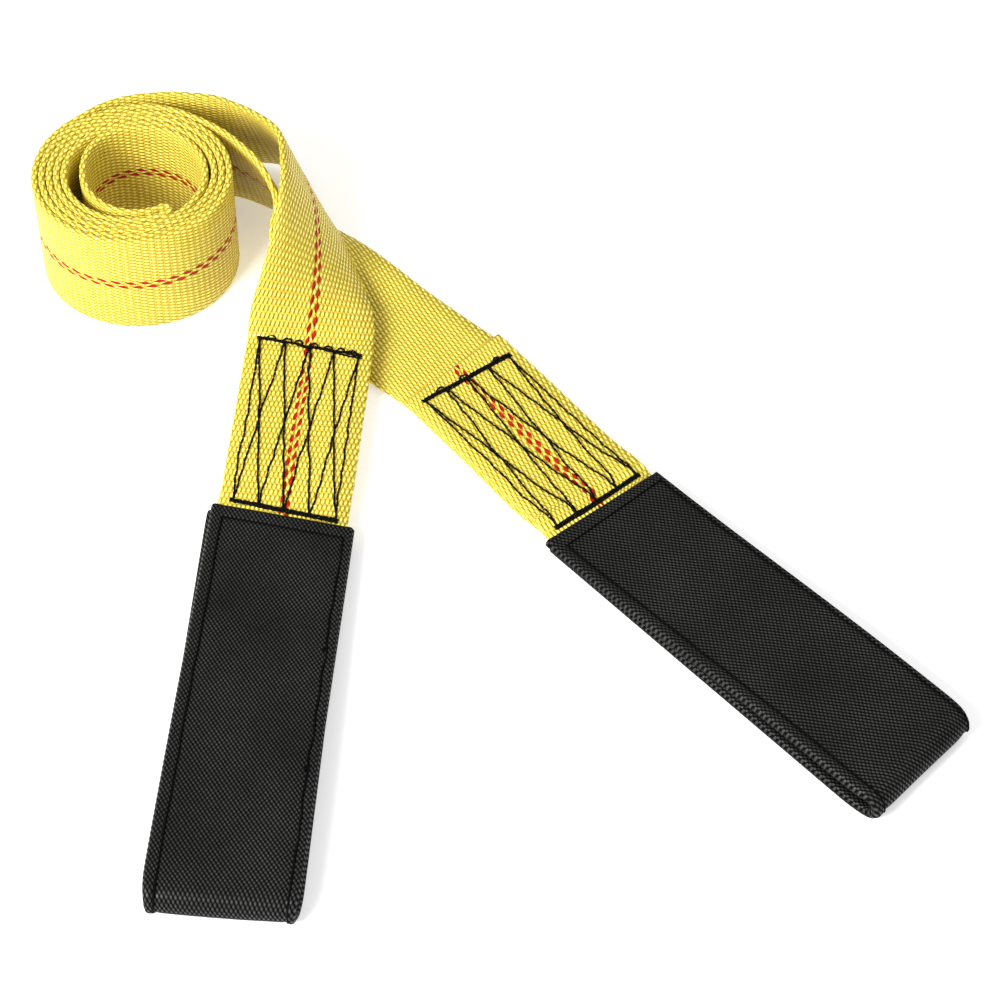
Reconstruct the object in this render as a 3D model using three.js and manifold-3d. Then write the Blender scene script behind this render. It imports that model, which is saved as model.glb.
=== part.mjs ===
// A recovery tow strap: one length of 50 mm webbing, doubled at its middle and rolled
// up on edge, with both ends led out flat to sewn eyes in woven protective sleeves.
// Millimetres, +Z up, the strap lying on the plane z = 0.
import * as THREE from 'three';
import { mergeVertices } from 'three/addons/utils/BufferGeometryUtils.js';
import Module from 'manifold-3d';

const wasm = await Module();
wasm.setup();

// Webbing
const WEB_WIDTH = 50;
const WEB_THICK = 2.5;
const GAP = 0.3;
const PLY_PITCH = WEB_THICK + GAP;
const EDGE_Z = WEB_WIDTH / 2 + 0.3;

// Coil: two strips wound together clockwise round an upright axis, from the mid fold
const COIL_CENTRE = [-146, 122.8];
const COIL_START = -57;
const COIL_TURN = 893;
const COIL_RADIUS = 26.4;
const COIL_PITCH = 5.8;
const COIL_SQUASH = 0.952;
const STRIP_GAP = 2.85;
const FOLD_EXTRA = 1.3;
const HOLLOW_EXTRA = 4.6;

// Sleeved eyes
const SLEEVE_WIDTH = 55.5;
const SLEEVE_WALL = 0.7;
const SLEEVE_CLEAR = 0.25;
const PLY_HALF = WEB_THICK / 2 + SLEEVE_CLEAR + SLEEVE_WALL;
const EYE_LOW = PLY_HALF + 0.1;
const EYE_MOUTH = 4.9;
const EYE_OPEN = 9;
const STITCH_LENGTH = 81;
const STITCH_WIDTH = 40;
const THREAD_LIFT = 0.55;
const SLEEVE_MOUTH = -1;
const BAR_END = -4.8;

// Clear film over the label panel
const FILM_WIDTH = 40;
const FILM_THICK = 0.4;

// Routes of the two strips from the coil to the flat: x, y, height, lean of the width
// from upright (90 is flat)
const LEFT_ROUTE = [
  [-164.2, 159.6, EDGE_Z, 0],
  [-152.7, 165, EDGE_Z, 0],
  [-134.1, 168.8, 25.4, 3],
  [-113.5, 170.4, 26.2, 14],
  [-95.5, 165.1, 27.3, 23],
  [-84.5, 150, 27.1, 17],
  [-77.8, 130.6, 28.6, 25],
  [-75.4, 115.8, 28.5, 31],
  [-74.5, 101.7, 26.4, 40],
  [-74.8, 87, 19.5, 62],
  [-76, 73.5, 9.8, 90],
];
const RIGHT_ROUTE = [
  [-163, 155.3, EDGE_Z, 0],
  [-150, 160, EDGE_Z, 0],
  [-135.5, 159.4, 25.5, 2],
  [-120.8, 156, 25.7, 9],
  [-107.1, 149.9, 25.6, 15],
  [-95, 141, 24.4, 20],
  [-87.1, 131.4, 21.4, 27],
  [-82.1, 122.3, 15.4, 49],
  [-72.7, 112, 7.6, 73],
  [-59.4, 97.9, 2.2, 88],
  [-48, 86.5, 1.55, 90],
  [-36, 76.5, 1.55, 90],
  [-18.9, 61.8, 1.55, 90],
];
const LEFT_EYE = {
  mouth: [-82.2, -17], heading: -94.2, length: 172, skew: -0.13, tipTurn: 0, sewn: 9, side: 0,
  bend: 0, tail: 6,
};
const RIGHT_EYE = {
  mouth: [39.5, -10], heading: -45.6, length: 162, skew: -0.05, tipTurn: 0.045, sewn: 1.55, side: -1.3,
  bend: -0.083, tail: 15,
};

const UP = new THREE.Vector3(0, 0, 1);
const rad = THREE.MathUtils.degToRad;
const smooth = (x) => THREE.MathUtils.smoothstep(x, 0, 1);

// A station of a ribbon: the middle of the webbing and the direction of its width
function station(x, y, z, w) {
  return { p: new THREE.Vector3(x, y, z), w };
}

// Four-value uniform Catmull-Rom through a route's points
function routePoint(points, t) {
  const i = Math.min(Math.floor(t), points.length - 2);
  const f = t - i;
  const at = (k) => points[THREE.MathUtils.clamp(k, 0, points.length - 1)];
  return points[0].map((_, c) => {
    const [a, b, d, e] = [at(i - 1)[c], at(i)[c], at(i + 1)[c], at(i + 2)[c]];
    return 0.5 * (2 * b + (d - a) * f + (2 * a - 5 * b + 4 * d - e) * f * f
      + (3 * b - a - 3 * d + e) * f * f * f);
  });
}

// Width direction that leans by an angle from upright towards the right of travel
function leaning(travel, lean) {
  const t = travel.clone().normalize();
  const up = UP.clone().addScaledVector(t, -t.z).normalize();
  const side = new THREE.Vector3().crossVectors(t, up);
  return up.multiplyScalar(Math.cos(rad(lean))).addScaledVector(side, Math.sin(rad(lean)));
}

function routeStations(points, steps) {
  const count = (points.length - 1) * steps;
  const list = [];
  for (let i = 0; i <= count; i += 1) {
    const t = i / steps;
    const [x, y, z, lean] = routePoint(points, t);
    const a = routePoint(points, Math.max(t - 0.02, 0));
    const b = routePoint(points, Math.min(t + 0.02, points.length - 1));
    const travel = new THREE.Vector3(b[0] - a[0], b[1] - a[1], b[2] - a[2]);
    list.push(station(x, y, z, leaning(travel, lean)));
  }
  return list;
}

// Radius of a strip's middle at a turn angle from the fold; the inner strip of the first
// turn stands off and leaves the coil's hollow
function coilRadius(turn, inner) {
  const outer = COIL_RADIUS + COIL_PITCH * turn / 360;
  if (!inner) return outer;
  const rise = smooth(turn / 110);
  const fall = 1 - smooth((turn - 120) / 75);
  const hollow = turn < 200 ? FOLD_EXTRA * (1 - rise) + HOLLOW_EXTRA * rise * fall : 0;
  const slack = 0.8 * smooth((turn - 235) / 60) * (1 - smooth((turn - 330) / 40));
  return outer - STRIP_GAP - hollow - slack;
}

function coilStation(turn, inner) {
  const angle = rad(COIL_START - turn);
  const r = coilRadius(turn, inner);
  const x = COIL_CENTRE[0] + r * Math.cos(angle);
  const y = COIL_CENTRE[1] + COIL_SQUASH * r * Math.sin(angle);
  return station(x, y, EDGE_Z, UP.clone());
}

function coilStations(inner) {
  const list = [];
  const count = 72;
  for (let i = 0; i <= count; i += 1) list.push(coilStation(COIL_TURN * i / count, inner));
  return list;
}

// The mid fold: a small round bend joining the inner strip to the outer one
function foldStations() {
  const a = coilStation(0, true).p;
  const b = coilStation(0, false).p;
  const centre = a.clone().lerp(b, 0.5);
  const arm = a.clone().sub(centre);
  const list = [];
  for (let i = 1; i < 8; i += 1) {
    const p = arm.clone().applyAxisAngle(UP, -Math.PI * i / 8).add(centre);
    list.push(station(p.x, p.y, p.z, UP.clone()));
  }
  return list;
}

// An eye: where a point lies at a distance u past the sleeve's mouth and a height z. The
// sewn part before the mouth runs a little aside of the sleeve's line.
function eyeFrame(eye) {
  const h = rad(eye.heading);
  const along = new THREE.Vector3(Math.cos(h), Math.sin(h), 0);
  const right = new THREE.Vector3(Math.sin(h), -Math.cos(h), 0);
  const place = (u, z) => {
    const near = smooth(-u / 12);
    const far = smooth((u - eye.length + 40) / 40);
    const aside = near * (eye.side - eye.bend * u);
    const w = right.clone().addScaledVector(along, near * eye.bend + far * eye.tipTurn).normalize();
    const p = station(eye.mouth[0], eye.mouth[1], z, w);
    p.p.addScaledVector(along, u).addScaledVector(right, aside);
    return p;
  };
  return { along, right, place };
}

// Heights of the two plies: sewn together before the mouth, parted inside the sleeve
function plyHeights(eye, u, standingOnTop) {
  const low = standingOnTop ? eye.sewn - PLY_PITCH : eye.sewn;
  const parted = smooth((u + 28) / 23);
  const opened = smooth(u / (eye.length * 0.8));
  const lower = THREE.MathUtils.lerp(low, EYE_LOW, parted);
  const apart = THREE.MathUtils.lerp(PLY_PITCH, EYE_MOUTH, parted) + (EYE_OPEN - EYE_MOUTH) * opened;
  return [lower, lower + apart];
}

// Stations of the eye from the end of the stitching, out along one ply, round the tip
// and back along the other
function eyeStations(eye, standingOnTop) {
  const { place } = eyeFrame(eye);
  const radius = EYE_OPEN / 2;
  const arc = eye.length - PLY_HALF - radius;
  const us = [-88, -58, -29, -24, -20, -16, -12, -8, -4, SLEEVE_MOUTH, 18, 36, 56, 76, 96, 116, arc - 12, arc];
  const ply = (u, upper) => place(u, plyHeights(eye, u, standingOnTop)[upper ? 1 : 0]);
  const out = us.map((u) => ply(u, standingOnTop));
  const tip = [];
  for (let i = 1; i < 10; i += 1) {
    const a = Math.PI * i / 10;
    const side = standingOnTop ? Math.cos(a) : -Math.cos(a);
    tip.push(place(arc + radius * Math.sin(a), EYE_LOW + radius + radius * side));
  }
  const back = us.slice(1).reverse().map((u) => ply(u, !standingOnTop));
  back.push(ply(-STITCH_LENGTH - 3.5 - eye.tail, !standingOnTop));
  return { out, tip, back };
}

// Rounded rectangle, width along x and thickness along y
function flatSection(width, thick, corner) {
  const [a, b] = [width / 2, thick / 2];
  const c = Math.min(corner, b * 0.8);
  return [[a, -b + c], [a, b - c], [a - c, b], [-a + c, b], [-a, b - c], [-a, -b + c], [-a + c, -b], [a - c, -b]];
}

// Sweeps closed loops of section points along stations; two loops make a tube
function sweep(stations, loops, offset = 0, skew = null) {
  const n = stations.length;
  const position = [];
  const index = [];
  const rings = [];
  for (let i = 0; i < n; i += 1) {
    const before = stations[Math.max(i - 1, 0)].p;
    const after = stations[Math.min(i + 1, n - 1)].p;
    const d = after.clone().sub(before).normalize();
    const b = new THREE.Vector3().crossVectors(stations[i].w, d).normalize();
    const w = new THREE.Vector3().crossVectors(d, b);
    const shear = skew ? skew(i) : 0;
    rings.push(loops.map((loop) => loop.map(([x, y]) => {
      const p = stations[i].p.clone().addScaledVector(w, x).addScaledVector(b, y + offset);
      p.addScaledVector(d, shear * x);
      position.push(p.x, p.y, p.z);
      return position.length / 3 - 1;
    })));
  }
  loops.forEach((loop, k) => {
    const turn = k === 0 ? 1 : -1;
    for (let i = 0; i < n - 1; i += 1) {
      for (let j = 0; j < loop.length; j += 1) {
        const m = (j + 1) % loop.length;
        const [a, b, c, e] = [rings[i][k][j], rings[i][k][m], rings[i + 1][k][m], rings[i + 1][k][j]];
        const quad = loop[j][1] + loop[m][1] > 0 ? [a, b, c, a, c, e] : [a, b, e, b, c, e];
        index.push(...(turn > 0 ? quad : quad.reverse()));
      }
    }
  });
  for (const [i, flip] of [[0, true], [n - 1, false]]) {
    if (loops.length === 1) {
      const ring = rings[i][0];
      for (let j = 1; j < ring.length - 1; j += 1) {
        index.push(...(flip ? [ring[0], ring[j + 1], ring[j]] : [ring[0], ring[j], ring[j + 1]]));
      }
    } else {
      const [outer, inner] = rings[i];
      for (let j = 0; j < outer.length; j += 1) {
        const m = (j + 1) % outer.length;
        const quad = [outer[j], outer[m], inner[m], outer[j], inner[m], inner[j]];
        index.push(...(flip ? quad.slice().reverse() : quad));
      }
    }
  }
  return outward(position, index);
}

// A geometry whose faces point out of its solid
function outward(position, index) {
  let volume = 0;
  const at = (k) => new THREE.Vector3().fromArray(position, 3 * k);
  for (let i = 0; i < index.length; i += 3) {
    volume += at(index[i]).dot(at(index[i + 1]).cross(at(index[i + 2])));
  }
  if (volume < 0) index.reverse();
  const geometry = new THREE.BufferGeometry();
  geometry.setAttribute('position', new THREE.Float32BufferAttribute(position, 3));
  geometry.setIndex(index);
  return geometry;
}

// Joins flat pieces into one solid, then lays every vertex on a surface
function joinAndLay(pieces, lay) {
  const solids = pieces.map((piece) => {
    piece.deleteAttribute('normal');
    piece.deleteAttribute('uv');
    const merged = mergeVertices(piece, 1e-4);
    const mesh = new wasm.Mesh({
      numProp: 3,
      vertProperties: new Float32Array(merged.attributes.position.array),
      triVerts: new Uint32Array(merged.index.array),
    });
    return new wasm.Manifold(mesh);
  });
  const whole = solids.reduce((sum, solid) => sum.add(solid)).getMesh();
  const position = [];
  for (let i = 0; i < whole.vertProperties.length; i += whole.numProp) {
    const [x, y, z] = whole.vertProperties.subarray(i, i + 3);
    position.push(...lay(x, y, z).toArray());
  }
  return outward(position, Array.from(whole.triVerts));
}

// A straight length of thread lying between two points of the flat
function threadPiece(from, to, width, height) {
  const [dx, dy] = [to[0] - from[0], to[1] - from[1]];
  const length = Math.hypot(dx, dy);
  const piece = new THREE.BoxGeometry(length, width, height, Math.max(1, Math.round(length / 14)), 1, 1);
  piece.rotateZ(Math.atan2(dy, dx));
  piece.translate((from[0] + to[0]) / 2, (from[1] + to[1]) / 2, height / 2);
  return piece;
}

// The box of zigzag stitching through both plies, on the top one
function boxStitch(eye, standingOnTop) {
  const { place, along } = eyeFrame(eye);
  const top = (i) => [-STITCH_LENGTH - 3.5, (i / 4 - 0.5) * STITCH_WIDTH];
  const bottom = (i) => [BAR_END, (i / 4 - 0.5) * STITCH_WIDTH];
  const lines = [[top(0), bottom(0)], [top(4), bottom(4)]];
  for (let i = 0; i < 4; i += 1) lines.push([top(i), bottom(i + 1)], [top(i + 1), bottom(i)]);
  const pieces = lines.map(([a, b]) => threadPiece(a, b, 0.9, 0.5));
  pieces.push(threadPiece(top(-0.03), top(4.03), 2, 0.6), threadPiece(bottom(-0.03), bottom(4.03), 2, 0.6));
  return joinAndLay(pieces, (u, across, h) => {
    const shifted = u + eye.skew * 1.2 * across;
    const s = place(shifted, plyHeights(eye, shifted, standingOnTop)[1]);
    const b = new THREE.Vector3().crossVectors(s.w, along).normalize();
    return s.p.addScaledVector(s.w, across).addScaledVector(b, WEB_THICK / 2 + THREAD_LIFT + h);
  });
}

// The lines of stitching that hem the sleeve, on its upper side
function sleeveSeam(eye, standingOnTop) {
  const { place, along } = eyeFrame(eye);
  const side = SLEEVE_WIDTH / 2 - 6.4;
  const end = eye.length - 9;
  const corners = [[end, -side], [7, -side], [7, side], [end, side]];
  const pieces = [];
  for (let i = 0; i < 3; i += 1) pieces.push(threadPiece(corners[i], corners[i + 1], 0.9, 0.4));
  for (const [u, a] of corners.slice(1, 3)) {
    const knot = new THREE.BoxGeometry(0.9, 0.9, 0.4);
    knot.translate(u, a, 0.2);
    pieces.push(knot);
  }
  return joinAndLay(pieces, (u, across, h) => {
    const shifted = u + eye.skew * across * (1 - u / eye.length);
    const s = place(shifted, plyHeights(eye, shifted, standingOnTop)[1]);
    const b = new THREE.Vector3().crossVectors(s.w, along).normalize();
    return s.p.addScaledVector(s.w, across).addScaledVector(b, PLY_HALF + THREAD_LIFT + h);
  });
}

// The whole strap from one cut end to the other, with the eyes at both ends
const leftEye = eyeStations(LEFT_EYE, true);
const rightEye = eyeStations(RIGHT_EYE, false);
const leftRun = routeStations(LEFT_ROUTE, 3);
const rightRun = routeStations(RIGHT_ROUTE, 3);
const strap = [
  ...leftEye.back.slice().reverse(), ...leftEye.tip.slice().reverse(), ...leftEye.out.slice().reverse(),
  ...leftRun.slice().reverse(), ...coilStations(false).reverse(),
  ...foldStations().reverse(), ...coilStations(true),
  ...rightRun, ...rightEye.out, ...rightEye.tip, ...rightEye.back,
];

// Sleeve: a flat tube over the webbing from the mouth round the tip and back
function sleeveStations(eye) {
  const inside = (list) => list.filter((s) => {
    const d = s.p.clone().sub(new THREE.Vector3(...eye.place(0, 0).p.toArray()));
    return d.dot(eye.along) > SLEEVE_MOUTH - 0.5;
  });
  return [...inside(eye.list.out), ...eye.list.tip, ...inside(eye.list.back)];
}

const outerSleeve = flatSection(SLEEVE_WIDTH, 2 * PLY_HALF, 1.6);
const innerSleeve = flatSection(WEB_WIDTH + 2 * SLEEVE_CLEAR + 1, WEB_THICK + 2 * SLEEVE_CLEAR, 1);

function sleeveGeometry(eye, list) {
  const stations = sleeveStations({ ...eyeFrame(eye), list });
  const last = stations.length - 1;
  const shear = (i) => {
    const near = Math.max(0, 1 - 2 * Math.min(i, last - i) / last);
    return (i < last / 2 ? eye.skew : -eye.skew) * near;
  };
  return sweep(stations, [outerSleeve, innerSleeve], 0, shear);
}

// Clear film over a label panel on the inner face of the right strip
function filmGeometry() {
  const offset = -(WEB_THICK / 2 + GAP + FILM_THICK / 2);
  return sweep(rightRun.slice(9, 16), [flatSection(FILM_WIDTH, FILM_THICK, 0.1)], offset);
}

const group = new THREE.Group();

function add(name, geometry, color, roughness) {
  const material = new THREE.MeshStandardMaterial({ color, roughness, metalness: 0 });
  const mesh = new THREE.Mesh(geometry, material);
  mesh.name = name;
  group.add(mesh);
  return mesh;
}

add('webbing', sweep(strap, [flatSection(WEB_WIDTH, WEB_THICK, 0.8)]), 0xe3c22a, 0.6);
add('sleeve_left', sleeveGeometry(LEFT_EYE, leftEye), 0x2b2b2b, 0.85);
add('sleeve_right', sleeveGeometry(RIGHT_EYE, rightEye), 0x2b2b2b, 0.85);
add('box_stitch_left', boxStitch(LEFT_EYE, true), 0x111111, 0.7);
add('box_stitch_right', boxStitch(RIGHT_EYE, false), 0x111111, 0.7);
add('sleeve_seam_left', sleeveSeam(LEFT_EYE, true), 0x080808, 0.7);
add('sleeve_seam_right', sleeveSeam(RIGHT_EYE, false), 0x080808, 0.7);
add('label_film', filmGeometry(), 0xf2efe0, 0.2);

// The origin is under the middle of the strap's box, on the floor
const box = new THREE.Box3().setFromObject(group);
const middle = box.getCenter(new THREE.Vector3());
group.position.set(-middle.x, -middle.y, -box.min.z);

export default group;
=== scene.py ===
import math

import bpy
import numpy as np
from mathutils import Matrix, Vector, noise


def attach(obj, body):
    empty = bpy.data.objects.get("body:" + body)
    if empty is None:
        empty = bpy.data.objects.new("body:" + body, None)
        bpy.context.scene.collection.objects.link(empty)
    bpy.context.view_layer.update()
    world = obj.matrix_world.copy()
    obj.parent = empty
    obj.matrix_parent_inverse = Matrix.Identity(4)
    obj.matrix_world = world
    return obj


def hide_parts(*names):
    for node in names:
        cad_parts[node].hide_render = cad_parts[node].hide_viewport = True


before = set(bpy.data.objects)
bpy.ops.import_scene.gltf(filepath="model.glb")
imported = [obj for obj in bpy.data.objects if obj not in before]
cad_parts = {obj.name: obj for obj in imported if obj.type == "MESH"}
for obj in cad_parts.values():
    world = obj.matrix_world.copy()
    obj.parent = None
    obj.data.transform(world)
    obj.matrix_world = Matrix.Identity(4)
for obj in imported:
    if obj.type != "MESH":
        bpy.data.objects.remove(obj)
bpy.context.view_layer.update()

bl_info = {
    "name": "Rolled Tow Strap",
    "version": (1, 0, 0),
    "blender": (4, 5, 0),
    "location": "View3D > Sidebar > Tow Strap",
    "description": "Builds a rolled recovery strap of ribbed webbing with two sleeved eyes",
    "category": "Add Mesh",
}

# Lengths in the route drawing are millimetres; the meshes are made in metres.
MM = 0.001
ORIGIN = np.array([8.2366, 6.4178, 0.0715])  # what the frame adds to the drawing's points
ROUTE_STEPS = 14  # points drawn from one route point to the next
SOFTEN = 1.1  # how far a join between two lines is rounded off

# The webbing, and the coil that stands on its edge
WEB_HALF = 1.25  # half its thickness
PLY_PITCH = 2.8  # middle to middle of two plies sewn together
EDGE_ROUND = 0.7  # how far in from an edge its face starts to round
FACE_COLUMNS = 8
EDGE_Z = 25.3
COIL_CENTRE = (-146.0, 122.8)
COIL_START = -57.0  # degrees
COIL_TURN = 893.0  # degrees from the fold to where the strips leave
COIL_RADIUS = 26.4
COIL_PITCH = 5.8  # growth of the radius over one turn
COIL_SQUASH = 0.952
STRIP_GAP = 2.85  # middle to middle of the coil's two strips
FOLD_EXTRA = 1.3
HOLLOW_EXTRA = 4.6

# The eyes: distances along them are counted from the sleeve's mouth to the tip
PLY_HALF = 2.2
EYE_LOW = 2.3  # height of the lower ply in the sleeve
EYE_MOUTH = 4.9  # middle to middle of the plies at the mouth
EYE_OPEN = 9.0  # middle to middle of the plies at the tip
BOX_START = -84.5
BOX_END = -3.8
BOX_SKEW = 1.2
THREAD_LIFT = WEB_HALF + 0.24
THREAD_SIDES = 6
STITCH_PITCH, STITCH_DEPTH = 3.1, 0.62

# The sleeves: how far their cloth stands off the webbing's middle, and their seams
SLEEVE_HALF = 27.75
SLEEVE_MOUTH = -1.0
RIM_HALF = 26.9
LINING_HALF = 25.7
CLOTH_LIFT, LINING_LIFT = 1.72, 1.45
PANEL_RISE, BORDER_RISE, HEM_RISE = 0.2, 0.5, 0.35
SEAM_DIP = 0.24
SWELL = 0.5
SEAM_START = 4.2
SEAM_LIFT, KNOT_LIFT = 1.82, 2.1
SEAM_PITCH, SEAM_DEPTH = 3.0, 0.3

# The label film lies between these two points of the right route
FILM_POINTS = (3, 5)
FILM_COLUMNS = 34

# In metres: the melted edge of a cut end, and what the map's across gains on a strap's second face
SEALED_END = 0.0005
BACK_FACE = 0.2

# The weave: a float's size as a share of the pitches, the tracer columns and the sleeves' cloth
FLOAT_LONG, FLOAT_WIDE = 1.12, 0.92
TRACER = dict(Mark_Period=0.0056, Mark_Length=0.0051, Mark_Width=0.0018, Mark_Spacing=0.0022)
SLEEVE_WEAVE = dict(Row_Pitch=0.00112, Yarn_Pitch=0.00168, Float_Length=0.0016, Float_Width=0.00125,
                    Slant=0.2)

# The camera fitted to the photo, the two lights (name, place, size, watts) and the floor's half width
CAMERA_TILT, CAMERA_ROLL, CAMERA_DISTANCE, LENS = 51.956, 0.733, 1.15316, 108.19
LIGHTS = (("key", (-0.9, -0.8, 0.95), 0.7, 38.0), ("fill", (1.2, 0.5, 1.1), 1.4, 7.0))
SURROUND = 0.6
FLOOR_GLOW = 0.4
FLOOR_HALF = 4

# x, y, height, lean of the width from upright (90 is flat)
LEFT_ROUTE = [
    (-164.2, 159.6, EDGE_Z, 0), (-152.7, 165, EDGE_Z, 0), (-134.1, 168.8, 25.4, 3),
    (-113.2, 170.4, 26, 14), (-95.2, 164.9, 27, 23), (-84, 148.6, 27, 17),
    (-77.5, 128.9, 28.7, 25), (-75.3, 114.4, 28.7, 32), (-74.5, 101.4, 26.3, 40),
    (-74.6, 88.4, 21.2, 55), (-75.3, 78.5, 14.4, 75), (-75.8, 71.6, 9.3, 90),
    (-76.3, 64.5, 9, 90),
]
RIGHT_ROUTE = [
    (-163, 155.3, EDGE_Z, 0), (-150, 160, EDGE_Z, 0), (-135.5, 159.4, 25.5, 2),
    (-120.8, 156, 25.7, 9), (-107.1, 149.9, 25.6, 15), (-95, 140.8, 24.4, 20),
    (-86.8, 131.1, 20.9, 26), (-82.3, 123.2, 14.9, 47), (-73.6, 113.4, 7.6, 73),
    (-59.9, 99.2, 2.5, 88), (-47.8, 87, 1.7, 90), (-36, 76.5, 1.55, 90),
    (-18.9, 61.8, 1.55, 90),
]
# sewn: height of the ply that the strap arrives on; tail: cut end past the box; under: lower ply set aside;
# seams: how far in from the sleeve's two edges; knots: along and across
LEFT_EYE = dict(mouth=(-82.2, -17.0), heading=-94.2, length=172.0, skew=-0.13, tip_turn=0.0, sewn=9.0,
                side=0.0, bend=0.0, tail=6.0, on_top=True, under=2.2, seams=(4.0, 5.0), cut=0.0,
                knots=((60.0, -23.6), (113.0, -23.4)))
RIGHT_EYE = dict(mouth=(39.5, -10.0), heading=-45.6, length=162.0, skew=-0.05, tip_turn=0.045, sewn=1.55,
                 side=-1.3, bend=-0.083, tail=8.2, on_top=False, under=-2.0, seams=(2.8, 5.0), cut=-0.09,
                 knots=())
EYES = {"left": LEFT_EYE, "right": RIGHT_EYE}


# ---------------------------------------------------------------- the strap's line

def smooth(x):
    x = np.clip(x, 0.0, 1.0)
    return x * x * (3.0 - 2.0 * x)


def unit(rows):
    return rows / np.maximum(np.linalg.norm(rows, axis=-1, keepdims=True), 1e-12)


def route_line(points):
    """Middle and width direction along a route, by uniform Catmull-Rom."""
    rows = np.array(points, float)
    t = np.linspace(0, len(rows) - 1, (len(rows) - 1) * ROUTE_STEPS + 1)
    i = np.minimum(np.floor(t).astype(int), len(rows) - 2)
    f = (t - i)[:, None]
    a, b, c, d = (rows[np.clip(i + k, 0, len(rows) - 1)] for k in (-1, 0, 1, 2))
    square, cube = 2 * a - 5 * b + 4 * c - d, 3 * b - a - 3 * c + d
    q = 0.5 * (2 * b + (c - a) * f + square * f ** 2 + cube * f ** 3)
    travel = unit(np.gradient(q[:, :3], axis=0))
    up = unit(np.array([0, 0, 1.0]) - travel[:, 2:3] * travel)
    side = np.cross(travel, up)
    lean = np.radians(q[:, 3])[:, None]
    return q[:, :3], up * np.cos(lean) + side * np.sin(lean)


def coil_radius(turn, inner):
    """Radius of the outer or inner strip; the inner one leaves a hollow by the fold and some slack."""
    outer = COIL_RADIUS + COIL_PITCH * turn / 360
    if not inner:
        return outer
    rise = smooth(turn / 110)
    fall = 1 - smooth((turn - 120) / 75)
    hollow = np.where(turn < 200, FOLD_EXTRA * (1 - rise) + HOLLOW_EXTRA * rise * fall, 0.0)
    slack = 0.8 * smooth((turn - 235) / 60) * (1 - smooth((turn - 330) / 40))
    return outer - STRIP_GAP - hollow - slack


def coil_line(inner, step=1.5):
    turn = np.linspace(0, COIL_TURN, int(COIL_TURN / step))
    angle = np.radians(COIL_START - turn)
    r = coil_radius(turn, inner)
    p = np.stack([COIL_CENTRE[0] + r * np.cos(angle), COIL_CENTRE[1] + COIL_SQUASH * r * np.sin(angle),
                  np.full_like(turn, EDGE_Z)], 1)
    return p, np.tile([0, 0, 1.0], (len(turn), 1))


def fold_line():
    a, b = coil_line(True)[0][0], coil_line(False)[0][0]
    centre, arm = (a + b) / 2, (a - b) / 2
    angle = -np.pi * np.arange(1, 12) / 12
    x = arm[0] * np.cos(angle) - arm[1] * np.sin(angle)
    y = arm[0] * np.sin(angle) + arm[1] * np.cos(angle)
    p = centre + np.stack([x, y, np.zeros_like(x)], 1)
    return p, np.tile([0, 0, 1.0], (len(x), 1))


def eye_axes(eye):
    h = math.radians(eye["heading"])
    return np.array([math.cos(h), math.sin(h), 0]), np.array([math.sin(h), -math.cos(h), 0])


def eye_place(eye, u, z, shift=0.0):
    """Point and width direction at a distance u past the sleeve's mouth, at a height z."""
    u, z = np.broadcast_arrays(np.asarray(u, float), np.asarray(z, float))
    along, right = eye_axes(eye)
    near = smooth(-u / 12)
    far = smooth((u - eye["length"] + 40) / 40)
    aside = near * (eye["side"] - eye["bend"] * u) + shift
    p = np.array([*eye["mouth"], 0.0]) + u[..., None] * along + aside[..., None] * right
    p[..., 2] = z
    return p, unit(right + (near * eye["bend"] + far * eye["tip_turn"])[..., None] * along)


def ply_heights(eye, u):
    u = np.asarray(u, float)
    low = eye["sewn"] - PLY_PITCH if eye["on_top"] else eye["sewn"]
    parted = smooth((u + 28) / 23)
    opened = smooth(u / (eye["length"] * 0.8))
    lower = low + (EYE_LOW - low) * parted
    return lower, lower + PLY_PITCH + (EYE_MOUTH - PLY_PITCH) * parted + (EYE_OPEN - EYE_MOUTH) * opened


def eye_lines(eye):
    """The ply that the strap arrives on, the round tip, and the ply that comes back."""
    radius = EYE_OPEN / 2
    arc = eye["length"] - PLY_HALF - radius
    u = np.concatenate([np.arange(-76, -30, 4.0), np.arange(-30, 6, 1.0), np.arange(8, arc, 4.0), [arc]])
    back_u = np.concatenate([[BOX_START - eye["tail"]], u[1:]])[::-1]
    top = 1 if eye["on_top"] else 0

    def ply(at, which):
        under = eye["under"] * smooth((at + 24) / 24) * (1 - np.clip(at, 0, arc) / arc)
        return eye_place(eye, at, ply_heights(eye, at)[which], under * (1 - which))

    out, back = ply(u, top), ply(back_u, 1 - top)
    a = np.pi * np.arange(1, 24) / 24
    side = np.cos(a) if eye["on_top"] else -np.cos(a)
    tip = eye_place(eye, arc + radius * np.sin(a), EYE_LOW + radius + radius * side)
    return out, tip, back


def even(lines, step):
    """Joins lines end to end, sets points evenly along them and rounds off the joins."""
    p = np.concatenate([line[0] for line in lines])
    w = np.concatenate([line[1] for line in lines])
    s = np.r_[0, np.cumsum(np.linalg.norm(np.diff(p, axis=0), axis=1))]
    keep = np.r_[True, np.diff(s) > 1e-6]
    p, w, s = p[keep], w[keep], s[keep]
    count = int(round(s[-1] / step))
    t = np.linspace(0, s[-1], count + 1)
    p = np.stack([np.interp(t, s, p[:, k]) for k in range(3)], 1)
    w = unit(np.stack([np.interp(t, s, w[:, k]) for k in range(3)], 1))
    reach = int(math.ceil(3 * SOFTEN / step))
    kernel = np.exp(-0.5 * (np.arange(-reach, reach + 1) * step / SOFTEN) ** 2)
    kernel /= kernel.sum()

    def soft(rows):
        head = 2 * rows[0] - rows[reach:0:-1]
        tail = 2 * rows[-1] - rows[-2:-reach - 2:-1]
        full = np.concatenate([head, rows, tail])
        return np.stack([np.convolve(full[:, k], kernel, "valid") for k in range(3)], 1)

    return soft(p), unit(soft(w))


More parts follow.
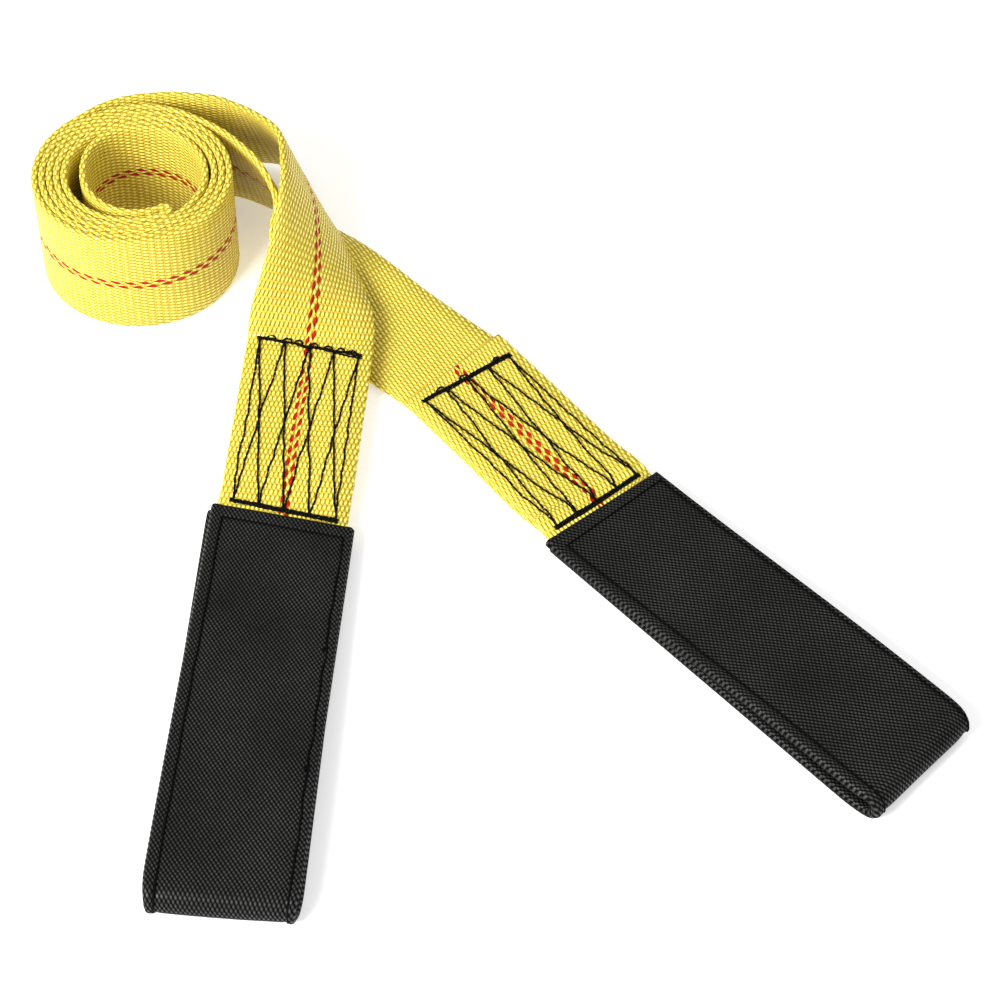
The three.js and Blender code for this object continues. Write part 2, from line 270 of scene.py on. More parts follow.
def frames(p, w):
    """Travel, width and face directions, square to each other."""
    d = unit(np.gradient(p, axis=0))
    b = unit(np.cross(w, d))
    return d, np.cross(d, b), b


def lengths(p):
    return np.r_[0, np.cumsum(np.linalg.norm(np.diff(p, axis=0), axis=1))]


def flip(line):
    return line[0][::-1], line[1][::-1]


def strap_lines():
    """The strap's parts from the left eye's cut end to the right eye's."""
    a_out, a_tip, a_back = eye_lines(LEFT_EYE)
    b_out, b_tip, b_back = eye_lines(RIGHT_EYE)
    return [flip(a_back), flip(a_tip), flip(a_out), flip(route_line(LEFT_ROUTE)), flip(coil_line(False)),
            flip(fold_line()), coil_line(True), route_line(RIGHT_ROUTE), b_out, b_tip, b_back]


def wave(s, scale, seed):
    """Smooth seeded unevenness along a length, from -1 to 1."""
    return np.array([noise.noise(Vector((v / scale, seed * 7.31, seed * 3.7))) for v in s])


# ---------------------------------------------------------------- meshes

def mesh_object(name, verts, faces, uvs, material):
    """A mesh object in the frame's metres, its faces turned outward, with its map along and across."""
    mesh = bpy.data.meshes.new(name)
    mesh.from_pydata((np.asarray(verts) + ORIGIN) * MM, [], faces)
    if uvs is not None:
        layer = mesh.uv_layers.new(name="Along")
        layer.data.foreach_set("uv", (np.asarray(uvs, float).ravel() * MM).astype(np.float32))
    mesh.validate()
    co = np.empty(len(mesh.vertices) * 3)
    mesh.vertices.foreach_get("co", co)
    co = co.reshape(-1, 3)
    mesh.calc_loop_triangles()
    tri = np.empty(len(mesh.loop_triangles) * 3, int)
    mesh.loop_triangles.foreach_get("vertices", tri)
    a, b, c = (co[tri.reshape(-1, 3)[:, k]] for k in range(3))
    if np.einsum("ij,ij->i", a, np.cross(b, c)).sum() < 0:
        mesh.flip_normals()
    mesh.polygons.foreach_set("use_smooth", [True] * len(mesh.polygons))
    mesh.materials.append(material)
    obj = bpy.data.objects.new(name, mesh)
    bpy.context.collection.objects.link(obj)
    return obj


def grid_faces(rows, columns, start=0, closed=True):
    i = np.arange(rows - 1)[:, None] * columns + start
    j = np.arange(columns if closed else columns - 1)[None]
    k = (j + 1) % columns
    return np.stack([i + j, i + k, i + columns + k, i + columns + j], -1).reshape(-1, 4)


def grid_uvs(s, v0, v1):
    """Map of a swept ring: along the line, and across from v0 to v1 for each of its faces."""
    n, m = len(s) - 1, len(v0)
    a, b = np.broadcast_to(s[:-1, None], (n, m)), np.broadcast_to(s[1:, None], (n, m))
    c, d = np.broadcast_to(v0, (n, m)), np.broadcast_to(v1, (n, m))
    return np.stack([np.stack(corner, -1) for corner in ((a, c), (a, d), (b, d), (b, c))], 2)


def strap_centre(sizes):
    """The whole strap's middle, width direction and length so far, four points to a rib."""
    p, w = even(strap_lines(), sizes.rib_pitch / MM / 4)
    return p, w, lengths(p)


def make_webbing(sizes, material):
    """One length of ribbed webbing, swept along the whole strap with its ribs and scalloped edges."""
    p, w, s = strap_centre(sizes)
    upright = smooth((w[:, 2] - 0.96) / 0.03)
    p[:, 2] += upright * (0.45 + 0.45 * wave(s, 55, 1))
    d, w, b = frames(p, w)
    half, thick = sizes.web_width / MM / 2, sizes.web_thickness / MM / 2
    flat = np.linspace(-half + EDGE_ROUND, half - EDGE_ROUND, FACE_COLUMNS)
    x = np.concatenate([flat, [half - 0.2, half, half - 0.2], flat[::-1], [-half + 0.2, -half, -half + 0.2]])
    y = np.concatenate([[-thick] * FACE_COLUMNS, [-0.62 * thick, 0, 0.62 * thick],
                        [thick] * FACE_COLUMNS, [0.62 * thick, 0, -0.62 * thick]])
    rib = np.cos(2 * np.pi * s / (sizes.rib_pitch / MM))
    edge = np.abs(x) > half - 0.5
    xs = x[None] + np.where(edge, np.sign(x), 0)[None] * (0.16 * rib + 0.25 * wave(s, 24, 2))[:, None]
    ys = y[None] * (1 + 0.05 * rib[:, None])
    verts = p[:, None] + w[:, None] * xs[..., None] + b[:, None] * ys[..., None]
    slant = RIGHT_EYE["cut"] * smooth((s - s[-1] + 12) / 12)
    verts += d[:, None] * (slant[:, None] * xs)[..., None]
    m, back = len(x), BACK_FACE / MM
    faces = [tuple(f) for f in grid_faces(len(s), m)]
    steps = np.linspace(half - EDGE_ROUND, half + 2, 5)
    v0 = np.concatenate([flat[:-1], steps[:-1], back + flat[::-1][:-1], -steps[::-1][:-1]])
    v1 = np.concatenate([flat[1:], steps[1:], back + flat[::-1][1:], -steps[::-1][1:]])
    uvs = grid_uvs(s, v0, v1).reshape(-1, 2)
    last = (len(s) - 1) * m
    faces += [tuple(range(m))[::-1], tuple(range(last, last + m))]
    ends = np.array([[0.0, 0]] * m + [[s[-1], 0]] * m)
    return mesh_object("strap_webbing", verts.reshape(-1, 3), faces, np.concatenate([uvs, ends]), material)


def sleeve_heights(x, s, total, where, seams):
    """How far the sleeve's cloth stands off the webbing's middle, across and along it."""
    side = (SLEEVE_HALF - np.where(x < 0, seams[0], seams[1]))[None]
    a = np.abs(x)[None]
    end = np.minimum(s, total - s)[:, None]
    panel = smooth((side - 0.4 - a) / 5) * smooth((end - SEAM_START - 1) / 6)
    border = smooth((a - side - 0.3) / 1.6)
    hem = 1 - smooth((end - SEAM_START - 0.2) / 1.2)
    h = CLOTH_LIFT + PANEL_RISE * panel + BORDER_RISE * border + HEM_RISE * hem * (1 - border)
    along_seam = SEAM_DIP * np.exp(-((a - side) / 0.6) ** 2)
    h -= along_seam + SEAM_DIP * np.exp(-((end - SEAM_START - 1) / 0.7) ** 2) * (a < side)
    soft = np.array([[noise.noise(Vector(q * 0.028)) + 0.4 * noise.noise(Vector(q * 0.075)) for q in row]
                     for row in where[:, ::3]])
    columns = np.arange(where.shape[1])
    full = np.stack([np.interp(columns, columns[::3], row) for row in soft])
    return h + SWELL * full * panel


def make_sleeve(name, eye, material):
    """A flat tube of cloth over the webbing, hemmed at its mouth and along both long sides."""
    p, w = even(eye_lines(eye), 0.5)
    along, _ = eye_axes(eye)
    u = (p - np.array([*eye["mouth"], 0.0])) @ along
    inside = u > SLEEVE_MOUTH - 0.25
    p, w = p[inside], w[inside]
    d, w, b = frames(p, w)
    s, total = lengths(p), lengths(p)[-1]
    wanted = np.concatenate([np.arange(0, 10, 0.5), np.arange(10, total - 10, 1.8),
                             np.arange(total - 10, total, 0.5), [total]])
    pick = np.unique(np.searchsorted(s, wanted).clip(0, len(s) - 1))
    p, d, w, b, s = p[pick], d[pick], w[pick], b[pick], s[pick]
    h = SLEEVE_HALF
    halves = []
    for inset in eye["seams"]:
        seam = h - inset
        rim = seam + (RIM_HALF - seam) * np.array([1.0, 0.8, 0.58, 0.36, 0.16])
        halves.append(np.concatenate([rim, seam - np.array([0, 0.6, 1.4, 3.0, 5.5]), [15.5, 12, 8, 4]]))
    x = np.concatenate([-halves[0], [0], halves[1][::-1]])
    m = len(x)
    mouthward = np.maximum(0, 1 - 2 * np.minimum(s, total - s) / total)
    near = mouthward * np.where(s < total / 2, 1, -1) * eye["skew"]
    tip = np.exp(-((s - total / 2) / 7.5) ** 2)
    loops = []
    for outer in (True, False):
        rows = []
        for face in (-1, 1):
            where = p[:, None] + w[:, None] * x[None, :, None] + b[:, None] * 2 * face
            height = np.full((len(s), m), LINING_LIFT)
            if outer:
                round_off = np.sqrt(np.clip((h - np.abs(x)) / 1.6, 0, 1))[None]
                height = sleeve_heights(x, s, total, where, eye["seams"]) * (0.45 + 0.55 * round_off)
            rows.append(face * height)
        scale = 1.0 if outer else LINING_HALF / RIM_HALF
        reach = h if outer else LINING_HALF + 0.25
        xs = np.concatenate([x * scale, [reach - 0.25, reach], (x * scale)[::-1], [-reach, -reach + 0.25]])
        one = np.ones((len(s), 1))
        ys = np.concatenate([rows[0], one * -0.95, one * 0.35, rows[1][:, ::-1], one * 0.35, one * -0.95], 1)
        wide = xs[None] * (1 - 0.05 * tip[:, None])
        ring = p[:, None] + w[:, None] * wide[..., None] + b[:, None] * ys[..., None]
        ring += d[:, None] * (near[:, None] * wide)[..., None]
        loops.append((ring, xs))
    n, count = len(s), len(loops[0][1])
    faces, uvs = [], []
    for k, (ring, xs) in enumerate(loops):
        grid = grid_faces(n, count, k * n * count)
        back = np.where(np.arange(count) < m + 1, 0, BACK_FACE / MM)
        grid_uv = grid_uvs(s, xs + back, np.roll(xs, -1) + back)
        if k:
            grid, grid_uv = grid[:, ::-1], grid_uv[:, :, ::-1]
        faces += [tuple(f) for f in grid]
        uvs.append(grid_uv.reshape(-1, 2))
    for row, turned in ((0, True), (n - 1, False)):
        here = np.arange(count) + row * count
        after = np.roll(here, -1)
        quad = np.stack([here, after, after + n * count, here + n * count], 1)
        quad = quad[:, ::-1] if turned else quad
        faces += [tuple(f) for f in quad]
        xs = loops[0][1]
        uvs.append(np.stack([np.full(4 * count, s[row]), np.repeat(xs, 4)], 1))
    verts = np.concatenate([ring.reshape(-1, 3) for ring, _ in loops])
    return mesh_object(name, verts, faces, np.concatenate(uvs), material), total


def lay(eye, u, across, lift):
    """Points on the upper ply of an eye and round its tip, lifted off the webbing's middle."""
    u, radius = np.asarray(u, float), EYE_OPEN / 2
    arc = eye["length"] - PLY_HALF - radius
    turn = np.clip((u - arc) / radius, 0, np.pi)
    level = np.where(turn > 0, EYE_LOW + radius * (1 + np.cos(turn)), ply_heights(eye, u)[1])
    p, w = eye_place(eye, np.where(turn > 0, arc + radius * np.sin(turn), u), level)
    out = np.sin(turn)[..., None] * eye_axes(eye)[0] + np.cos(turn)[..., None] * np.array([0, 0, 1.0])
    return p + w * np.asarray(across, float)[..., None] + out * np.asarray(lift, float)[..., None]


def thread_line(path, radius, stitch, depth, seed):
    """Rings of one run of thread, swelling between the holes its stitches dive into, and their lengths."""
    s = lengths(path)
    count = max(4, int(s[-1] / 0.45))
    t = np.linspace(0, s[-1], count)
    q = np.stack([np.interp(t, s, path[:, k]) for k in range(3)], 1)
    swell = smooth(np.abs(np.sin(np.pi * (t / stitch + seed * 0.37))) * 2.1)
    q[:, 2] += depth * (swell - 1)
    d = unit(np.gradient(q, axis=0))
    side = unit(np.cross(d, [0, 0, 1.0]))
    up = np.cross(side, d)
    angle = np.linspace(0, 2 * np.pi, THREAD_SIDES + 1)[None, :-1, None]
    r = (radius * (0.7 + 0.3 * swell))[:, None, None]
    ring = q[:, None] + r * (side[:, None] * np.cos(angle) + up[:, None] * np.sin(angle))
    return ring.reshape(-1, 3), t


def threads_object(name, runs, radius, stitch, depth, material):
    """All runs of thread of one piece of sewing, as closed tubes in one object."""
    m, start = THREAD_SIDES, 0
    verts, faces, uvs = [], [], []
    for seed, path in enumerate(runs):
        ring, t = thread_line(np.asarray(path), radius, stitch, depth, seed)
        end = start + len(ring)
        faces += [tuple(f) for f in grid_faces(len(t), m, start)]
        faces += [tuple(range(start, start + m))[::-1], tuple(range(end - m, end))]
        round_v = np.arange(m) * radius
        uvs += [grid_uvs(t, round_v, round_v + radius).reshape(-1, 2), np.zeros((2 * m, 2))]
        verts.append(ring)
        start = end
    return mesh_object(name, np.concatenate(verts), faces, np.concatenate(uvs), material)


def wandering(a, b, count, wobble, waves):
    """Points from a to b that stray aside as sewing does; each wave is its share, scale and seed."""
    f = np.linspace(0, 1, count)
    length = math.dist(a, b)
    aside = sum(wobble * share * wave(f * length, scale, seed) for share, scale, seed in waves)
    dx, dy = (b[0] - a[0]) / length, (b[1] - a[1]) / length
    return a[0] + (b[0] - a[0]) * f - dy * aside, a[1] + (b[1] - a[1]) * f + dx * aside


def make_box_stitch(name, eye, sizes, material):
    """Black zigzag through both plies between two bars of several passes each."""
    width = sizes.stitch_width / MM
    runs = []

    def line(a, b, wobble, seed, extra=0.0):
        u, v = wandering(a, b, 120, wobble, ((1.0, 5.5, seed), (0.9, 17, seed + 40)))
        u = u + eye["skew"] * BOX_SKEW * v
        runs.append(lay(eye, u, v, np.full(len(u), THREAD_LIFT + extra)))

    def at(u, i):
        return (u, (i / 4 - 0.5) * width)

    line(at(BOX_START, 0), at(BOX_END, 0), 0.45, 3)
    line(at(BOX_START, 4), at(BOX_END, 4), 0.45, 5)
    for i in range(4):
        line(at(BOX_START, i), at(BOX_END, i + 1), 0.5, 11 + i)
        line(at(BOX_START, i + 1), at(BOX_END, i), 0.5, 21 + i, 0.25)
    chained = eye["on_top"]
    for u, seed, passes in ((BOX_START, 50, 3 if chained else 4), (BOX_END, 70, 4)):
        wobble = 0.8 if chained and u == BOX_START else 0.3
        for k in range(passes):
            off = (k - (passes - 1) / 2) * 0.55
            ends = (u + off, -width / 2 - 1.1), (u + off * 0.8, width / 2 + 1.1)
            line(*ends, wobble, seed + k, 0.15 + 0.15 * (k % 2))
    loops = (-17.0, -12.5, -7.5, -1.5, 4.5, 9.0, 15.5) if chained else (-15.0, 1.0, 12.0)
    for v in loops:
        a = np.linspace(0, np.pi, 14)
        u = BOX_START - 0.6 - 1.35 * np.sin(a) + eye["skew"] * BOX_SKEW * v
        runs.append(lay(eye, u, v + 1.7 * np.cos(a), THREAD_LIFT + 0.1 + 0.3 * np.sin(a)))
    return threads_object(name, runs, sizes.thread / MM / 2, STITCH_PITCH, STITCH_DEPTH, material)


def make_sleeve_seam(name, eye, sizes, material):
    """The stitching of the sleeve's hems: across its mouth and down both sides, on round the tip."""
    near, far = (SLEEVE_HALF - inset for inset in eye["seams"])
    end = eye["length"] + 1.5
    runs = []

    def line(a, b, seed, wobble):
        u, v = wandering(a, b, 160, wobble, ((1.0, 9, seed), (1.0, 31, seed + 9)))
        u = u + eye["skew"] * v * (1 - u / eye["length"])
        runs.append(lay(eye, u, v, np.full(len(u), SEAM_LIFT)))

    line((end, -near), (SEAM_START, -near), 3, 0.7 if eye is LEFT_EYE else 0.2)
    line((SEAM_START, -near), (SEAM_START, far), 4, 0.2)
    line((SEAM_START, far), (end, far), 5, 0.25)
    for u, v in eye["knots"]:
        a = np.linspace(0, 2 * np.pi, 12)
        runs.append(lay(eye, u + 0.9 * np.cos(a), v + 0.7 * np.sin(a), np.full(len(a), KNOT_LIFT)))
    return threads_object(name, runs, sizes.seam_thread / MM / 2, SEAM_PITCH, SEAM_DEPTH, material)


def make_film(sizes, material):
    """Clear film over the bare label panel, creased where the strap bends."""
    p, w = even([route_line(RIGHT_ROUTE)], 0.8)
    t = route_line(RIGHT_ROUTE)[0]
    first, last = (np.linalg.norm(p - t[ROUTE_STEPS * k], axis=1).argmin() for k in FILM_POINTS)
    p, w = p[first:last + 1], w[first:last + 1]
    _, w, b = frames(p, w)
    s = lengths(p)
    half = sizes.film_width / MM / 2
    flat = np.linspace(-half, half, FILM_COLUMNS)
    where = p[:, None] + w[:, None] * flat[None, :, None]
    crease = np.array([[1 - abs(noise.noise(Vector(q * 0.09))) * 2.2 + 0.5 * noise.noise(Vector(q * 0.3))
                        for q in row] for row in where])
    rim = np.minimum(np.minimum(s, s[-1] - s)[:, None], (half - np.abs(flat))[None])
    lift = WEB_HALF + 0.42 + 0.55 * np.clip(crease, 0, 1) * smooth(rim / 4)
    x = np.concatenate([flat, flat[::-1]])
    y = np.concatenate([-lift - 0.16, -lift[:, ::-1]], 1)
    verts = p[:, None] + w[:, None] * x[None, :, None] + b[:, None] * y[..., None]
    m = len(x)
    faces = [tuple(f) for f in grid_faces(len(s), m)]
    uvs = grid_uvs(s, x, np.roll(x, -1)).reshape(-1, 2)
    end, strips = (len(s) - 1) * m, FILM_COLUMNS - 1
    for j in range(strips):
        faces.append((j + 1, j, m - 1 - j, m - 2 - j))
        faces.append((end + j, end + j + 1, end + m - 2 - j, end + m - 1 - j))
    uvs = np.concatenate([uvs, np.zeros((strips * 8, 2))])
    return mesh_object("label_cover", verts.reshape(-1, 3), faces, uvs, material)


# ---------------------------------------------------------------- materials

def calc(tree, operation, a, b=None, c=None):
    """One Math node; each input is a socket to link or a number to set."""
    node = tree.nodes.new("ShaderNodeMath")
    node.operation = operation
    for socket, value in zip(node.inputs, (a, b, c)):
        if isinstance(value, bpy.types.NodeSocket):
            tree.links.new(value, socket)
        elif value is not None:
            socket.default_value = value
    return node.outputs[0]


def blend_colour(tree, factor, a, b):
    node = tree.nodes.new("ShaderNodeMix")
    node.data_type = "RGBA"
    for socket, value in ((node.inputs[0], factor), (node.inputs[6], a), (node.inputs[7], b)):
        if isinstance(value, bpy.types.NodeSocket):
            tree.links.new(value, socket)
        elif isinstance(value, float):
            socket.default_value = value
        else:
            socket.default_value = (*value[:3], 1.0)
    return node.outputs[2]


def new_group(name, inputs, outputs):
    tree = bpy.data.node_groups.new(name, "ShaderNodeTree")
    for label, kind, default in inputs:
        socket = tree.interface.new_socket(label, in_out="INPUT", socket_type=kind)
        if default is not None:
            socket.default_value = default
    for label, kind in outputs:
        tree.interface.new_socket(label, in_out="OUTPUT", socket_type=kind)
    return tree, tree.nodes.new("NodeGroupInput").outputs, tree.nodes.new("NodeGroupOutput").inputs


def yarn_group():
    """Floats of yarn in staggered rows: their height, two marked columns, and a value for each float."""
    name = "Staggered Yarns"
    if name in bpy.data.node_groups:
        return bpy.data.node_groups[name]
    tree, given, out = new_group(
        name,
        [("Vector", "NodeSocketVector", None), ("Row Pitch", "NodeSocketFloat", 0.0028),
         ("Yarn Pitch", "NodeSocketFloat", 0.00145), ("Float Length", "NodeSocketFloat", 0.0034),
         ("Float Width", "NodeSocketFloat", 0.0015), ("Slant", "NodeSocketFloat", 0.2),
         ("Stagger", "NodeSocketFloat", 0.5), ("Row Band", "NodeSocketFloat", 0.0),
         ("Mark Period", "NodeSocketFloat", 0.0056), ("Mark Length", "NodeSocketFloat", 0.0046),
         ("Mark Width", "NodeSocketFloat", 0.0014), ("Mark Spacing", "NodeSocketFloat", 0.0022)],
        [("Height", "NodeSocketFloat"), ("Tracer", "NodeSocketFloat"), ("Variation", "NodeSocketFloat")])
    parts = tree.nodes.new("ShaderNodeSeparateXYZ")
    tree.links.new(given["Vector"], parts.inputs[0])
    along, across = parts.outputs[0], parts.outputs[1]
    behind = calc(tree, "GREATER_THAN", across, BACK_FACE / 2)
    across = calc(tree, "SUBTRACT", across, calc(tree, "MULTIPLY", behind, BACK_FACE))
    period = calc(tree, "MULTIPLY", given["Row Pitch"], 2.0)
    slant = calc(tree, "MULTIPLY", given["Slant"], calc(tree, "MULTIPLY_ADD", behind, -2.0, 1.0))
    front = calc(tree, "SUBTRACT", 1.0, behind)
    heights, marks, values, offsets = [], [], [], []
    for k in range(2):
        y = calc(tree, "ADD", calc(tree, "DIVIDE", along, period), 0.5 * k)
        row = calc(tree, "FLOOR", calc(tree, "ADD", y, 0.5))
        dy = calc(tree, "MULTIPLY", calc(tree, "SUBTRACT", y, row), period)
        leant = calc(tree, "SUBTRACT", across, calc(tree, "MULTIPLY", dy, slant))
        column = calc(tree, "DIVIDE", leant, given["Yarn Pitch"])
        x = calc(tree, "MULTIPLY_ADD", given["Stagger"], 0.5 - k, column)
        offsets.append(calc(tree, "ABSOLUTE", dy))
        column = calc(tree, "FLOOR", calc(tree, "ADD", x, 0.5))
        dx = calc(tree, "MULTIPLY", calc(tree, "SUBTRACT", x, column), given["Yarn Pitch"])
        fx = calc(tree, "DIVIDE", dx, calc(tree, "MULTIPLY", given["Float Width"], 0.5))
        fy = calc(tree, "DIVIDE", dy, calc(tree, "MULTIPLY", given["Float Length"], 0.5))
        fx, fy = calc(tree, "POWER", fx, 2.0), calc(tree, "POWER", fy, 2.0)
        h = calc(tree, "MAXIMUM", calc(tree, "SUBTRACT", 1.0, calc(tree, "ADD", fx, fy)), 0.0)
        heights.append(h)
        cell = tree.nodes.new("ShaderNodeTexWhiteNoise")
        cell.noise_dimensions = "2D"
        pair = tree.nodes.new("ShaderNodeCombineXYZ")
        tree.links.new(column, pair.inputs[0])
        tree.links.new(calc(tree, "ADD", row, 0.37 * k + 0.1), pair.inputs[1])
        tree.links.new(pair.outputs[0], cell.inputs["Vector"])
        values.append(calc(tree, "MULTIPLY", cell.outputs["Value"], calc(tree, "GREATER_THAN", h, 0.02)))
        my = calc(tree, "ADD", calc(tree, "DIVIDE", along, given["Mark Period"]), 0.5 * k)
        my = calc(tree, "SUBTRACT", my, calc(tree, "FLOOR", calc(tree, "ADD", my, 0.5)))
        my = calc(tree, "MULTIPLY", my, given["Mark Period"])
        mx = calc(tree, "MULTIPLY_ADD", given["Mark Spacing"], 0.5 - k, across)
        mx = calc(tree, "SUBTRACT", mx, calc(tree, "MULTIPLY", my, slant))
        mx = calc(tree, "DIVIDE", calc(tree, "ABSOLUTE", mx), given["Mark Width"])
        my = calc(tree, "DIVIDE", calc(tree, "ABSOLUTE", my), given["Mark Length"])
        spindle = calc(tree, "ADD", mx, calc(tree, "MULTIPLY", calc(tree, "POWER", my, 1.7), 1.62))
        inside = calc(tree, "MAXIMUM", calc(tree, "MULTIPLY_ADD", spindle, -2.0, 1.0), 0.0)
        marks.append(calc(tree, "MULTIPLY", inside, front))
    between = calc(tree, "DIVIDE", calc(tree, "MINIMUM", *offsets), given["Row Pitch"])
    band = calc(tree, "MAXIMUM", calc(tree, "MULTIPLY_ADD", between, 5.0, -1.6), 0.0)
    band = calc(tree, "MULTIPLY", calc(tree, "MINIMUM", band, 1.0), given["Row Band"])
    tree.links.new(calc(tree, "MAXIMUM", calc(tree, "MAXIMUM", *heights), band), out["Height"])
    tree.links.new(calc(tree, "MAXIMUM", marks[0], marks[1]), out["Tracer"])
    tree.links.new(calc(tree, "MAXIMUM", values[0], values[1]), out["Variation"])
    return tree


def fibre_group():
    """Fine streaks of filament along the yarn, and a slow change of shade over the cloth."""
    name = "Fibre Grain"
    if name in bpy.data.node_groups:
        return bpy.data.node_groups[name]
    tree, given, out = new_group(
        name,
        [("Vector", "NodeSocketVector", None), ("Streak Scale", "NodeSocketFloat", 2600.0),
         ("Stretch", "NodeSocketFloat", 0.18), ("Shade Scale", "NodeSocketFloat", 22.0)],
        [("Streaks", "NodeSocketFloat"), ("Shade", "NodeSocketFloat")])
    parts = tree.nodes.new("ShaderNodeSeparateXYZ")
    tree.links.new(given["Vector"], parts.inputs[0])
    pair = tree.nodes.new("ShaderNodeCombineXYZ")
    tree.links.new(calc(tree, "MULTIPLY", parts.outputs[0], given["Stretch"]), pair.inputs[0])
    tree.links.new(parts.outputs[1], pair.inputs[1])
    fine = tree.nodes.new("ShaderNodeTexNoise")
    tree.links.new(pair.outputs[0], fine.inputs["Vector"])
    tree.links.new(given["Streak Scale"], fine.inputs["Scale"])
    fine.inputs["Detail"].default_value = 2.0
    slow = tree.nodes.new("ShaderNodeTexNoise")
    tree.links.new(given["Vector"], slow.inputs["Vector"])
    tree.links.new(given["Shade Scale"], slow.inputs["Scale"])
    slow.inputs["Detail"].default_value = 3.0
    tree.links.new(fine.outputs["Fac"], out["Streaks"])
    tree.links.new(slow.outputs["Fac"], out["Shade"])
    return tree


def place_group(tree, group, vector, **values):
    """A shared group in a material's tree, its inputs named with _ for a space."""
    node = tree.nodes.new("ShaderNodeGroup")
    node.node_tree = group
    tree.links.new(vector, node.inputs["Vector"])
    for label, value in values.items():
        node.inputs[label.replace("_", " ")].default_value = value
    return node.outputs


def new_material(name, **sockets):
    """A material with its Principled BSDF, constant sockets set, and the mesh's own map."""
    material = bpy.data.materials.new(name)
    material.use_nodes = True
    tree = material.node_tree
    shader = tree.nodes["Principled BSDF"]
    for label, value in sockets.items():
        shader.inputs[label.replace("_", " ")].default_value = value
    uv = tree.nodes.new("ShaderNodeUVMap")
    uv.uv_map = "Along"
    return material, tree, shader, uv.outputs[0]


def bump(tree, shader, height, distance):
    node = tree.nodes.new("ShaderNodeBump")
    node.inputs["Distance"].default_value = distance
    node.inputs["Strength"].default_value = 1.0
    tree.links.new(height, node.inputs["Height"])
    tree.links.new(node.outputs["Normal"], shader.inputs["Normal"])


def webbing_material(sizes, colours, length):
    material, tree, shader, uv = new_material("Yellow Webbing", Specular_IOR_Level=0.06,
                                              Coat_Roughness=0.2)
    yarn = place_group(tree, yarn_group(), uv, Row_Pitch=sizes.rib_pitch, Yarn_Pitch=sizes.yarn_pitch,
                       Float_Length=sizes.rib_pitch * FLOAT_LONG, Float_Width=sizes.yarn_pitch * FLOAT_WIDE,
                       Slant=-0.15, Stagger=0.5, Row_Band=0.4, **TRACER)
    grain = place_group(tree, fibre_group(), uv)
    # Painted light and shade: the yellow runs from painted shade in the grooves between the floats up to a
    # painted highlight on their tops, following the weave's height. The slow noise and each float's value add
    # real tone, and the fine streaks add fibre grain with some painted sheen.
    relief = calc(tree, "POWER", yarn["Height"], 0.9)
    shade = calc(tree, "MULTIPLY_ADD", grain["Shade"], 0.3, -0.15)
    level = calc(tree, "MULTIPLY_ADD", relief, 1.15, shade)
    level = calc(tree, "ADD", level, calc(tree, "MULTIPLY_ADD", yarn["Variation"], 0.14, -0.02))
    level = calc(tree, "ADD", level, calc(tree, "MULTIPLY_ADD", grain["Streaks"], 0.24, -0.12))
    yellow = blend_colour(tree, level, colours.webbing_groove_shade, colours.webbing)
    mark = tree.nodes.new("ShaderNodeClamp")
    tree.links.new(calc(tree, "MULTIPLY", yarn["Tracer"], 6.0), mark.inputs[0])
    red = blend_colour(tree, yarn["Tracer"], colours.tracer_groove, colours.tracer)
    cloth = blend_colour(tree, mark.outputs[0], yellow, red)
    parts = tree.nodes.new("ShaderNodeSeparateXYZ")
    tree.links.new(uv, parts.inputs[0])
    along = parts.outputs[0]
    from_end = calc(tree, "MINIMUM", along, calc(tree, "SUBTRACT", length, along))
    sealed = calc(tree, "LESS_THAN", from_end, SEALED_END)
    tree.links.new(blend_colour(tree, sealed, cloth, colours.sealed), shader.inputs["Base Color"])
    tree.links.new(calc(tree, "MULTIPLY_ADD", relief, -0.3, 0.75), shader.inputs["Roughness"])
    unmarked = calc(tree, "SUBTRACT", 1.0, mark.outputs[0])
    shine = calc(tree, "MULTIPLY", calc(tree, "POWER", yarn["Height"], 2.0), unmarked)
    tree.links.new(calc(tree, "MULTIPLY_ADD", mark.outputs[0], 0.12, shine), shader.inputs["Coat Weight"])
    bump(tree, shader, calc(tree, "MULTIPLY_ADD", grain["Streaks"], 0.08, relief), 0.0007)
    return material


def sleeve_material(colours):
    material, tree, shader, uv = new_material("Woven Sleeve Cloth", Specular_IOR_Level=0.02,
                                              Coat_Roughness=0.35)
    yarn = place_group(tree, yarn_group(), uv, **SLEEVE_WEAVE)
    grain = place_group(tree, fibre_group(), uv, Streak_Scale=3200.0, Stretch=0.4, Shade_Scale=30.0)
    # Painted light: the raised yarns are lightened from the dark ground towards painted glints at their
    # crossings, and the slow noise turns these glints up and down in patches as painted soft shading of the
    # cloth.
    relief = calc(tree, "POWER", yarn["Height"], 1.6)
    level = calc(tree, "MULTIPLY", relief, calc(tree, "MULTIPLY_ADD", yarn["Variation"], 0.3, 0.75))
    level = calc(tree, "MULTIPLY", level, calc(tree, "MULTIPLY_ADD", grain["Shade"], 1.5, 0.15))
    cloth = blend_colour(tree, level, colours.sleeve, colours.sleeve_yarn_glint)
    tree.links.new(cloth, shader.inputs["Base Color"])
    tree.links.new(calc(tree, "MULTIPLY_ADD", relief, -0.25, 0.68), shader.inputs["Roughness"])
    tree.links.new(calc(tree, "MULTIPLY", relief, 0.5), shader.inputs["Coat Weight"])
    bump(tree, shader, calc(tree, "MULTIPLY_ADD", grain["Streaks"], 0.15, relief), 0.0003)
    return material


